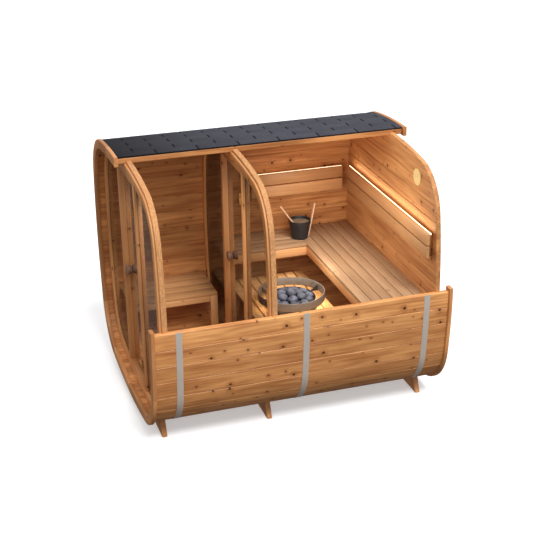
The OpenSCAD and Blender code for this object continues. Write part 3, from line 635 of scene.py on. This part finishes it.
# Stave shell: each wall's arcs, with their counts of staves. The near and far walls' seeds are chosen
# for the random board tones they give, which paint shade: the near wall's staves are darker towards its
# bottom, and the far wall's top staves under the roof are darker.
for name, node, seed, rows in (
        ("near_wall_staves", "near_wall", 3251, ((near_left, 4), (near_bottom, 4))),
        ("bottom_staves", "bottom_shell", 12, ((bottom, 8),)),
        ("far_wall_staves", "far_wall", 40454, ((far_bottom, 4), (far_side, 8), (far_top, 4))),
        ("roof_staves", "roof_shell", 14, ((top_far, 4),))):
    shell = Stock(seed)
    for arc, count in rows:
        shell.staves(arc, count)
    shell.piece(name, [STAVE], "stave_wood", "sauna", node)

# End rings: two bows to an arc
stub = near_side[:3] + (stub_turn, 180 + side_turn)
crown = top_far[:3] + (90 - top_turn, roof_stub)
for end, x0, x1, seed in (("front", -ring_x, -shell_x - seat_gap, 21),
                          ("back", shell_x + seat_gap, ring_x, 22)):
    ring = Stock(seed)
    for arc in (stub, near_bottom, bottom, far_bottom, far_side, far_top, crown):
        ring.hoops(arc, 2, -ring_proud, ring_deep, x0, x1)
    ring.piece(end + "_ring_bows", [RING], "ring_wood", "sauna", end + "_ring")


def band_straps():
    """Steel bands round the shell, from the near wall's cut to the shingles"""
    straps, thick, half_wide = Stock(23), 0.0020, 0.025
    around = (near_left, near_bottom, bottom, far_bottom, far_side)
    for x in (-1.0, 0.0, 1.0):
        straps.hoop(around, -thick - seat_gap, thick, x - half_wide, x + half_wide, 0.0006, tone=0.5)
    straps.piece("band_straps", [BAND], "band_steel", "sauna", "steel_bands")


band_straps()


def roof_spot(run, lift):
    """Place on the roof at a run from the ridge cut"""
    flat = math.radians(top_turn)*top_r
    if run <= flat:
        return spot(top_far, 90 - math.degrees(run/top_r), -lift)
    return spot(far_top, 90 - top_turn - math.degrees((run - flat)/corner_r), -lift)


def shingle_roof():
    """Rows of shingle tabs on an underlay, each row lapped over the next one down"""
    cover, underlay = Stock(24), 0.0102
    cover.hoop((far_top, top_far), -underlay - seat_gap, underlay, -shell_x, shell_x, 0.001,
               tone=0.0, coat=1)
    rows, tab, slot, shift, shortest, lap = 12, 0.3337, 0.014, 0.022, 0.02, 0.0008
    sole, upper, swell, bevel, drop = 0.0100, 0.0136, 0.0014, 0.0012, 0.0006
    length = math.radians(top_turn)*top_r + math.radians(far_top[4] - far_top[3])*corner_r
    course, steps = length/rows, 4
    for row in range(rows):
        at = -shell_x - shift - (tab/2 if row % 2 else 0.0)
        while at < shell_x - shortest/2:
            x0, x1 = max(at + slot/2, -shell_x), min(at + tab - slot/2, shell_x)
            at += tab
            if x1 - x0 < shortest:
                continue
            rings, places = [], []
            for i in range(steps + 1):
                share = i/steps
                run = row*course + course*share - (lap if i else 0.0)
                top = upper + swell*share
                section = ((x0, sole), (x1, sole), (x1, top - drop), (x1 - bevel, top),
                           (x0 + bevel, top), (x0, top - drop))
                rings.append([(x, *roof_spot(run, lift)) for x, lift in section])
                places.append([(x, run, lift) for x, lift in section])
            cover.loft(rings, places, tone=0.25 + 0.75*cover.luck.random())
    cover.piece("shingle_tabs", [FELT, SLIT], "shingle", "sauna", "roof_shingles")


shingle_roof()


def cradle_boards():
    """Boards on edge under the shell, hollowed to its bottom, with sloping ends"""
    cradle, steps = Stock(25), 8
    half_long, slope, relief, half_thick = 0.72, 0.47, 0.006, 0.021
    outer, tip = 270 + top_turn, 327.0

    def beyond_end(turn):
        y, z = spot(far_bottom, turn, -seat_gap)
        return y > half_long - slope*z

    while beyond_end(tip):
        tip -= 0.1
    shares = [1 - i/steps for i in range(steps + 1)]
    seat = [spot(far_bottom, outer + (tip - outer)*share, -seat_gap) for share in shares]
    sag = [spot(bottom, 270 + top_turn*share, -relief) for share in shares]
    half = [(half_long, 0.0)] + seat + sag
    outline = half + [(-y, z) for y, z in reversed(half[:-1])]
    for x in (-1.084, -0.218, 1.084):
        cradle.slab(outline, 0, x - half_thick, x + half_thick)
    cradle.piece("cradle_boards", [RING], "ring_wood", "sauna", "cradles")


cradle_boards()


def wall_frame(side, x, seed):
    """The frame of a glazed wall: an arch with a sawn tongue, posts and rails"""
    thick, wide, tongue_set, tongue_rise, tongue_deep = 0.056, 0.065, 0.016, 0.0217, 0.024
    around = (far_side, far_top, top_far, top_near, near_top, near_side, near_bottom, bottom,
              far_bottom)
    arch = Stock(seed)
    arch.hoop(around, stave_thick + seat_gap, wide, x, x + thick, tone=0.4)
    arch.hoop(around, stave_thick - tongue_rise, tongue_deep, x + tongue_set, x + thick, 0.0015,
              coat=1, tone=0.4)
    arch.piece(side + "_arch_bows", [FRAME, SAWN], "frame_wood", "sauna", side + "_arch")
    boards(side + "_post_boards", POST, "frame_wood", seed + 1, side + "_posts")
    boards(side + "_rail_boards", POST, "frame_wood", seed + 2, side + "_rails", 0.003)


wall_frame("front", front_x, 31)
wall_frame("inner", inner_x, 41)


def back_wall_boards():
    """Plain boards from the vent's middle up and down, and the vent's cover"""
    wall, inset, board, below, above, steps = Stock(51), 0.0233, 0.128, 14, 2, 6
    vent_y, vent_rise, hole = -0.577, 0.781, 0.048
    reach = half_h - inset - 0.0004
    half_circle = [math.pi*k/10 for k in range(11)]
    for i in range(-below, above):
        low = max(vent_rise + i*board + seat_gap, -reach)
        high = min(vent_rise + (i + 1)*board - seat_gap, reach)
        levels = [low + (high - low)*k/steps for k in range(steps + 1)]
        outline = [(half_width(z, inset), mid_z + z) for z in levels]
        if i == -1:
            outline += [(vent_y + hole*math.cos(t), mid_z + vent_rise - hole*math.sin(t))
                        for t in half_circle]
        outline += [(-half_width(z, inset), mid_z + z) for z in reversed(levels)]
        if i == 0:
            outline += [(vent_y - hole*math.cos(t), mid_z + vent_rise + hole*math.sin(t))
                        for t in half_circle]
        wall.slab(outline, 0, back_x, back_rear_x)
    wall.piece("back_wall_boards", [WALL], "wall_wood", "sauna", "back_wall")
    vent = Stock(52)
    vent.turned([(0.0, 0.0), (0.067, 0.0), (0.068, 0.001), (0.068, 0.0045), (0.0665, 0.006),
                 (0.0, 0.006)],
                leaned((back_x - seat_gap, vent_y, mid_z + vent_rise), -math.pi/2), 64, 0.3)
    vent.piece("vent_disc", [PALE], "pale_wood", "sauna", "vent_cover")


back_wall_boards()

# Benches, backrests and their frames
boards("changing_bench_slats", STOOL, "bench_wood", 61, "changing_bench", 0.005)
boards("changing_bench_stand", STOOL, "bench_wood", 62, "changing_bench_frame")
boards("far_bench_slats", BENCH, "bench_wood", 63, "far_bench", 0.005)
boards("back_bench_slats", BENCH, "bench_wood", 64, "back_bench", 0.005)
boards("bench_aprons", RAIL, "bench_wood", 65, "bench_frame", 0.005)
boards("far_backrest_boards", RAIL, "bench_wood", 66, "far_backrest", 0.005)
boards("back_backrest_boards", RAIL, "bench_wood", 67, "back_backrest", 0.005)
boards("backrest_spacers", UNDER, "frame_wood", 68, "backrest_battens", 0.003)
boards("platform_stand", UNDER, "frame_wood", 69, "platform_frame", 0.003)


def platform_slats():
    """Foot platform: slats along the room's width, cut round the heater"""
    deck, hole = Stock(70), 0.217
    last_x, wide, pitch, half_long, low, high = 0.5627, 0.078, 0.088, 0.75, 0.574, 0.600

    def chord(x):
        """Half the width of the round cut at a place along the sauna"""
        return math.sqrt(max(0.0, hole*hole - (x - heater_x)**2))

    for i in range(8):
        x1 = last_x - pitch*i
        x0 = x1 - wide
        near_end, far_end = [(x0, -half_long), (x1, -half_long)], [(x1, half_long), (x0, half_long)]
        inside = [abs(x - heater_x) < hole for x in (x0, x1)]
        if all(inside):
            across = [x0 + (x1 - x0)*k/8 for k in range(9)]
            deck.slab([(x, heater_y + chord(x)) for x in across] + far_end, 2, low, high, run=1)
            deck.slab(near_end + [(x, heater_y - chord(x)) for x in reversed(across)], 2, low, high,
                      run=1)
        elif any(inside):
            half = math.acos(abs((x1 if inside[1] else x0) - heater_x)/hole)
            mouth = math.pi if inside[1] else 0.0
            turns = [mouth + half*(1 - k/4) for k in range(9)]
            bite = [(heater_x + hole*math.cos(t), heater_y + hole*math.sin(t)) for t in turns]
            outline = near_end + bite + far_end if inside[1] else near_end + far_end + bite
            deck.slab(outline, 2, low, high, run=1)
        else:
            deck.plank((x0, -half_long, low), (x1, half_long, high))
    deck.piece("platform_slats", [SLAT], "bench_wood", "sauna", "foot_platform")


platform_slats()


def heater_stone_heap():
    """Uneven stones in circles: count, reach from the middle, first turn and height"""
    heap = Stock(72)
    circles = ((1, 0.0, 0, 0.648), (6, 0.078, 15, 0.648), (11, 0.160, 0, 0.676), (6, 0.092, 20, 0.700),
               (1, 0.0, 0, 0.716))
    half_sizes = ((0.038, 0.043), (0.041, 0.046), (0.029, 0.034))
    ball = bmesh.new()
    bmesh.ops.create_icosphere(ball, subdivisions=4, radius=1.0)
    shape = [v.co.copy() for v in ball.verts]
    faces = [tuple(v.index for v in f.verts) for f in ball.faces]
    ball.free()
    for count, reach, turn, height in circles:
        for i in range(count):
            t = math.radians(turn + 360*i/count)
            middle = Vector((heater_x + reach*math.cos(t), heater_y + reach*math.sin(t), height))
            seed = Vector([heap.luck.uniform(-50, 50) for k in range(3)])
            size = [heap.luck.uniform(*span) for span in half_sizes]
            spin = Matrix.Rotation(t + heap.luck.uniform(-0.3, 0.3), 3, "Z")
            spin = spin @ Matrix.Rotation(heap.luck.uniform(-0.1, 0.1) + 1.6*reach, 3, "Y")
            first, tone = len(heap.points), heap.luck.random()
            for p in shape:
                swell = 1.0 + 0.16*noise.noise(p*1.1 + seed) + 0.05*noise.noise(p*2.7 + seed)
                heap.points.append(middle + spin @ Vector([c*s*swell for c, s in zip(p, size)]))
                heap.grain.append(tuple(p*0.04 + seed))
                # Painted light: a stone's tone rises towards its top, which paints its top paler than
                # its underside
                heap.tone.append(0.4*tone + 0.6*max(0.0, p.z))
            heap.faces += [tuple(first + k for k in f) for f in faces]
            heap.coats += [0]*len(faces)
    heap.piece("heater_stone_heap", [STONE], "stone", "sauna", "heater_stones")


def heater():
    """Casing with a rolled rim, the stones on it and the guard ring round it"""
    place = Matrix.Translation((heater_x, heater_y, 0.0))
    casing = Stock(71)
    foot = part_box("heater_body")[0][2]
    casing.turned([(0.0, foot), (0.156, foot), (0.160, foot + 0.004), (0.1755, 0.330), (0.1745, 0.334),
                   (0.1765, 0.338), (0.2020, 0.664), (0.2010, 0.668), (0.2050, 0.676),
                   (0.2050, 0.686), (0.2035, 0.690), (0.2005, 0.690), (0.1990, 0.687),
                   (0.1990, 0.616), (0.0, 0.616)], place, 72, 0.5)
    casing.piece("heater_casing", [CASING], "heater_steel", "sauna", "heater_body")
    heater_stone_heap()
    guard = Stock(73)
    guard.turned(eased_corners(0.276, 0.285, 0.673, 0.745, 0.0035), place, 128, 0.5, ring=True)
    guard.piece("guard_band", [GUARD], "guard_metal", "sauna", "heater_guard")


heater()


def bucket():
    """Bucket with water, a ladle and an upright handle"""
    rim, foot, deep, wall = 0.098, 0.073, 0.172, 0.005
    middle = (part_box("bucket")[0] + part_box("bucket")[1])/2
    x, y, z = middle[0], middle[1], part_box("bucket")[0][2]
    place = Matrix.Translation((x, y, z))
    tub = Stock(81)
    tub.turned([(0.0, 0.0), (foot - 0.004, 0.0), (foot, 0.003), (foot + 0.0195, 0.138),
                (foot + 0.0228, 0.140), (rim - 0.0008, 0.163), (rim, 0.167), (rim - 0.0008, 0.171),
                (rim - 0.003, deep), (rim - wall, deep - 0.002), (rim - wall - 0.002, 0.158),
                (foot - wall, wall), (0.0, wall)], place, 64, 0.5)
    tub.piece("bucket_tub", [BUCKET], "bucket_black", "sauna", "bucket")
    pool, level = Stock(82), 0.146
    reach = foot - wall + (rim - foot)*(level - wall)/(deep - wall) - 0.0006
    pool.turned([(0.0, level - 0.006), (reach - 0.001, level - 0.006), (reach, level + 0.0012),
                 (reach - 0.002, level), (0.0, level)], place, 64, 0.5)
    pool.piece("bucket_pool", [WATER], "glass", "sauna")
    scoop, over, aside, stick_r, stick_rise = Stock(83), 0.38*foot, 0.3*foot, 0.008, 0.013
    cup = Vector((x + over, y - aside, z + wall + seat_gap))
    scoop.turned([(0.0, 0.0), (0.020, 0.0), (0.0255, 0.006), (0.026, 0.026), (0.0235, 0.026),
                  (0.0225, 0.008), (0.0, 0.005)], Matrix.Translation(cup), 40, 0.4)
    edge = math.sqrt((rim - wall)**2 - aside**2)
    lean = math.atan((edge - 1.25*stick_r - seat_gap + over)/(deep - wall - stick_rise))
    scoop.turned([(0.0, 0.004), (0.0070, 0.004), (0.0076, 0.12), (0.0072, 0.25), (0.0078, 0.355),
                  (0.0074, 0.369), (0.0045, 0.3735), (0.0, 0.374)],
                 leaned(cup + Vector((0.0, 0.0, stick_rise)), -lean), 20, 0.4)
    scoop.piece("ladle_scoop", [STICK], "pale_wood", "sauna", "ladle")
    grip = Stock(84)
    grip.plank((seat_gap, -0.013, 0.006), (seat_gap + 0.012, 0.013, 0.320), 0.0035, 0.3,
               leaned((x + foot, y, z), math.radians(11.5)))
    grip.piece("bucket_grip", [STICK], "pale_wood", "sauna", "bucket_handle")


bucket()


def knobs(body, node, seed):
    """Turned door knobs, one on each face of the glass, on a stem through it"""
    low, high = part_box(node)
    middle = (low + high)/2
    knob = Stock(seed)
    shape = [(0.0, 0.0042), (0.0265, 0.0042), (0.028, 0.006), (0.0315, 0.014), (0.038, 0.024),
             (0.0425, 0.031), (0.043, 0.036), (0.0415, 0.0405), (0.037, 0.0435), (0.024, 0.044),
             (0.0, 0.0438)]
    stem = [(0.0, -0.006), (0.0058, -0.006), (0.0058, 0.006), (0.0, 0.006)]
    for profile, turn, steps in ((shape, math.pi/2, 40), (shape, -math.pi/2, 40),
                                 (stem, math.pi/2, 20)):
        knob.turned(profile, leaned(middle, turn), steps, 0.5)
    knob.piece(node + "_turned", [KNOB], "knob_wood", body, node)


knobs("front_door", "front_door_knob", 91)
knobs("inner_door", "inner_door_knob", 92)

# CAD solids that keep their shape and get a finish
for coat, nodes in ((GLASS, ("front_side_panes", "front_door_glass", "inner_door_glass")),
                    (PARTITION_GLASS, ("inner_side_panes",)),
                    (BRASS, ("front_hinges", "inner_hinges", "front_door_clamps", "inner_door_clamps")),
                    (LIGHT, ("light_strips",)), (BRACKET, ("guard_brackets",))):
    for node in nodes:
        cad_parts[node].data.materials.clear()
        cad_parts[node].data.materials.append(coat)


def lamp(name, kind, place, turned, power, colour=(1.0, 1.0, 1.0), **settings):
    """A lamp at a place, turned by angles about the axes or towards a point"""
    light = bpy.data.lights.new(name, kind)
    light.energy, light.color = power, colour
    for key, value in settings.items():
        setattr(light, key, value)
    made = bpy.data.objects.new(name, light)
    made.location = place
    if isinstance(turned, Vector):
        turned = (Vector(place) - turned).to_track_quat("Z", "Y").to_euler()
    made.rotation_euler = turned
    made.visible_camera = False
    bpy.context.collection.objects.link(made)


def studio():
    """Pale floor, white surround, a broad soft sun, and lamps in the rooms, strips and heater"""
    white, soft, amber = (1.0, 1.0, 1.0, 1.0), (1.0, 0.95, 0.88), (1.0, 0.74, 0.42)
    mesh = bpy.data.meshes.new("studio_floor")
    work = bmesh.new()
    bmesh.ops.create_grid(work, x_segments=8, y_segments=8, size=60.0)
    work.to_mesh(mesh)
    work.free()
    floor = bpy.data.objects.new("studio_floor", mesh)
    bpy.context.collection.objects.link(floor)
    paper = finish("studio_paper")
    cloudy = paper.clouds(paper.place(), (2.0, 2.0, 2.0))
    mesh.materials.append(paper.surface(
        Base_Color=paper.mix(cloudy, tint(230, 230, 231), tint(232, 232, 233)), Roughness=0.9,
        Specular_IOR_Level=0.0, Emission_Color=white, Emission_Strength=0.40))
    floor.visible_diffuse = floor.visible_glossy = False

    sky = Finish(bpy.data.worlds.new("studio_surround"))
    up = sky.part(sky.place("Generated"), "Z")
    shade = sky.mix(sky.step(up, -0.35, 0.25), (0.22, 0.20, 0.19, 1.0), white)
    glow = sky.add("ShaderNodeBackground", {}, {"Color": shade, "Strength": 0.70})
    sky.add("ShaderNodeOutputWorld", {}, {"Surface": glow})
    bpy.context.scene.world = sky.made
    bpy.context.scene.view_settings.view_transform = "Standard"

    lamp("key_sun", "SUN", 8*direction(10.0, 54.0), Vector((0.0, 0.0, 0.0)), 2.5,
         angle=math.radians(18.0))
    lamp("back_strip_glow", "AREA", (1.044, -0.06, 1.530), (math.pi, 0.25, 0.0), 0.9, amber,
         shape="RECTANGLE", size=0.02, size_y=1.70)
    lamp("far_strip_glow", "AREA", (0.552, 0.870, 1.530), (math.pi - 0.25, 0.0, 0.0), 0.07, amber,
         shape="RECTANGLE", size=0.82, size_y=0.02)
    for name, place, aim, power, size in (
            ("hot_room_fill", (0.42, 0.20, 1.60), (0.45, 0.80, 0.66), 2.3, 0.4),
            ("back_wall_fill", (0.25, -0.40, 1.60), (1.08, -0.40, 1.50), 5.7, 0.5),
            ("platform_fill", (0.32, -0.05, 1.20), (0.32, 0.38, 0.60), 2.5, 0.3),
            ("under_bench_fill", (0.62, -0.10, 0.78), (1.00, 0.30, 0.45), 0.7, 0.2),
            ("stool_fill", (-0.80, 0.10, 0.40), (-0.75, 0.90, 0.35), 0.25, 0.2),
            ("changing_room_fill", (-0.78, -0.65, 1.60), (-0.72, 0.50, 0.50), 4.1, 0.6)):
        lamp(name, "AREA", place, Vector(aim), power, soft, size=size)
    glows, reach = 8, 0.245
    for i in range(glows):
        t = 2*math.pi*i/glows
        place = (heater_x + reach*math.cos(t), heater_y + reach*math.sin(t), 0.668)
        lamp("heater_glow_%d" % (i + 1), "AREA", place, (0.0, 0.0, 0.0), 0.16, amber, size=0.06)


studio()
